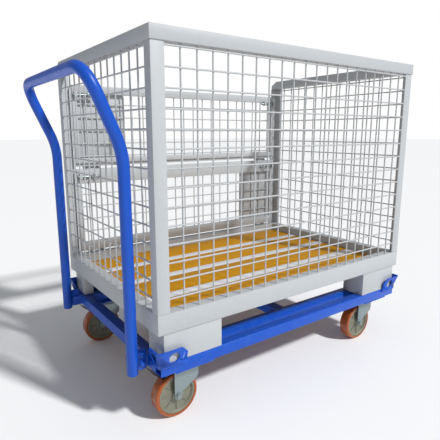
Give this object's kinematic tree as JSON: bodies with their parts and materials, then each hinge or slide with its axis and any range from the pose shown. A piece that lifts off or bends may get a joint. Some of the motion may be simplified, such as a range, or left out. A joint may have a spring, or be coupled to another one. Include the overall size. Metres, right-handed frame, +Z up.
{
  "type": "mesh box pallet on castor dolly",
  "caption": "Steel wire-mesh box pallet with two drop gates, standing in the corner catches of a swivel-castor dolly with a push handle.",
  "frame": {"origin": "on the ground, at the bottom centre of the bounding box", "axes": "+X along the long side, away from the push handle; +Y towards the drop gates; +Z up"},
  "size_m": [1.4198, 0.8656, 1.225],
  "materials": {
    "grey_paint": "satin light grey powder coat",
    "blue_paint": "semi-gloss blue powder coat",
    "zinc": "satin zinc plate",
    "wheel_plastic": "matte beige-grey plastic",
    "tyre": "glossy red-brown polyurethane",
    "board": "yellow film-faced board",
    "black_steel": "satin black"
  },
  "bodies": {
    "dolly": {"dolly_side_rail_front": "blue_paint", "dolly_side_rail_back": "blue_paint", "dolly_end_rail_left": "blue_paint", "dolly_end_rail_right": "blue_paint", "dolly_inner_rail_front": "blue_paint", "dolly_inner_rail_back": "blue_paint", "dolly_cross_tube": "blue_paint", "push_handle": "blue_paint", "corner_catch_front_left": "blue_paint", "corner_catch_front_right": "blue_paint", "corner_catch_back_left": "blue_paint", "corner_catch_back_right": "blue_paint", "castor_plate_front_left": "zinc", "castor_plate_front_right": "zinc", "castor_plate_back_left": "zinc", "castor_plate_back_right": "zinc"},
    "fork_front_left": {"castor_fork_front_left": "zinc", "axle_bolt_front_left": "zinc"},
    "wheel_front_left": {"wheel_body_front_left": "wheel_plastic", "tyre_front_left": "tyre"},
    "brake_front_left": {"brake_pedal_front_left": "black_steel"},
    "fork_front_right": {"castor_fork_front_right": "zinc", "axle_bolt_front_right": "zinc"},
    "wheel_front_right": {"wheel_body_front_right": "wheel_plastic", "tyre_front_right": "tyre"},
    "fork_back_left": {"castor_fork_back_left": "zinc", "axle_bolt_back_left": "zinc"},
    "wheel_back_left": {"wheel_body_back_left": "wheel_plastic", "tyre_back_left": "tyre"},
    "brake_back_left": {"brake_pedal_back_left": "black_steel"},
    "fork_back_right": {"castor_fork_back_right": "zinc", "axle_bolt_back_right": "zinc"},
    "wheel_back_right": {"wheel_body_back_right": "wheel_plastic", "tyre_back_right": "tyre"},
    "box": {"base_frame": "grey_paint", "foot_front_left": "grey_paint", "foot_front_right": "grey_paint", "foot_back_left": "grey_paint", "foot_back_right": "grey_paint", "post_front_left": "grey_paint", "post_front_right": "grey_paint", "post_back_left": "grey_paint", "post_back_right": "grey_paint", "top_rail": "grey_paint", "mesh_front": "grey_paint", "mesh_left": "grey_paint", "mesh_right": "grey_paint", "floor_board_1": "board", "floor_board_2": "board", "floor_board_3": "board", "floor_board_4": "board"},
    "lower_gate": {"lower_gate": "grey_paint", "lower_marking_plate": "grey_paint"},
    "upper_gate": {"upper_gate": "grey_paint", "upper_marking_plate": "grey_paint"},
    "lower_latch_left_bolt": {"lower_latch_left": "zinc"},
    "lower_latch_right_bolt": {"lower_latch_right": "zinc"},
    "upper_latch_left_bolt": {"upper_latch_left": "zinc"},
    "upper_latch_right_bolt": {"upper_latch_right": "zinc"}
  },
  "joints": [
    {"name": "swivel_front_left", "type": "hinge", "parent": "dolly", "child": "fork_front_left", "pos_m": [-0.40638, -0.3365, 0.18], "axis": [0, 0, 1], "continuous": true},
    {"name": "roll_front_left", "type": "hinge", "parent": "fork_front_left", "child": "wheel_front_left", "pos_m": [-0.44638, -0.3365, 0.08], "axis": [0, 1, 0], "continuous": true},
    {"name": "brake_press_front_left", "type": "hinge", "parent": "fork_front_left", "child": "brake_front_left", "pos_m": [-0.44438, -0.3365, 0.169], "axis": [0, -1, 0], "range_deg": [0, 5]},
    {"name": "swivel_front_right", "type": "hinge", "parent": "dolly", "child": "fork_front_right", "pos_m": [0.56362, -0.3365, 0.18], "axis": [0, 0, 1], "continuous": true},
    {"name": "roll_front_right", "type": "hinge", "parent": "fork_front_right", "child": "wheel_front_right", "pos_m": [0.52362, -0.3365, 0.08], "axis": [0, 1, 0], "continuous": true},
    {"name": "swivel_back_left", "type": "hinge", "parent": "dolly", "child": "fork_back_left", "pos_m": [-0.40638, 0.3365, 0.18], "axis": [0, 0, 1], "continuous": true},
    {"name": "roll_back_left", "type": "hinge", "parent": "fork_back_left", "child": "wheel_back_left", "pos_m": [-0.44638, 0.3365, 0.08], "axis": [0, 1, 0], "continuous": true},
    {"name": "brake_press_back_left", "type": "hinge", "parent": "fork_back_left", "child": "brake_back_left", "pos_m": [-0.44438, 0.3365, 0.169], "axis": [0, -1, 0], "range_deg": [0, 5]},
    {"name": "swivel_back_right", "type": "hinge", "parent": "dolly", "child": "fork_back_right", "pos_m": [0.56362, 0.3365, 0.18], "axis": [0, 0, 1], "continuous": true},
    {"name": "roll_back_right", "type": "hinge", "parent": "fork_back_right", "child": "wheel_back_right", "pos_m": [0.52362, 0.3365, 0.08], "axis": [0, 1, 0], "continuous": true},
    {"name": "box_lift", "type": "slide", "parent": "dolly", "child": "box", "axis": [0, 0, 1], "range_m": [0, 0.3]},
    {"name": "lower_gate_drop", "type": "hinge", "parent": "box", "child": "lower_gate", "pos_m": [0.07862, 0.4245, 0.411], "axis": [-1, 0, 0], "range_deg": [0, 110]},
    {"name": "upper_gate_drop", "type": "hinge", "parent": "lower_gate", "child": "upper_gate", "pos_m": [0.07862, 0.4245, 0.791], "axis": [-1, 0, 0], "range_deg": [0, 170]},
    {"name": "lower_latch_left_slide", "type": "slide", "parent": "lower_gate", "child": "lower_latch_left_bolt", "axis": [-1, 0, 0], "range_m": [0, 0.024]},
    {"name": "lower_latch_right_slide", "type": "slide", "parent": "lower_gate", "child": "lower_latch_right_bolt", "axis": [1, 0, 0], "range_m": [0, 0.024]},
    {"name": "upper_latch_left_slide", "type": "slide", "parent": "upper_gate", "child": "upper_latch_left_bolt", "axis": [-1, 0, 0], "range_m": [0, 0.024]},
    {"name": "upper_latch_right_slide", "type": "slide", "parent": "upper_gate", "child": "upper_latch_right_bolt", "axis": [1, 0, 0], "range_m": [0, 0.024]}
  ]
}
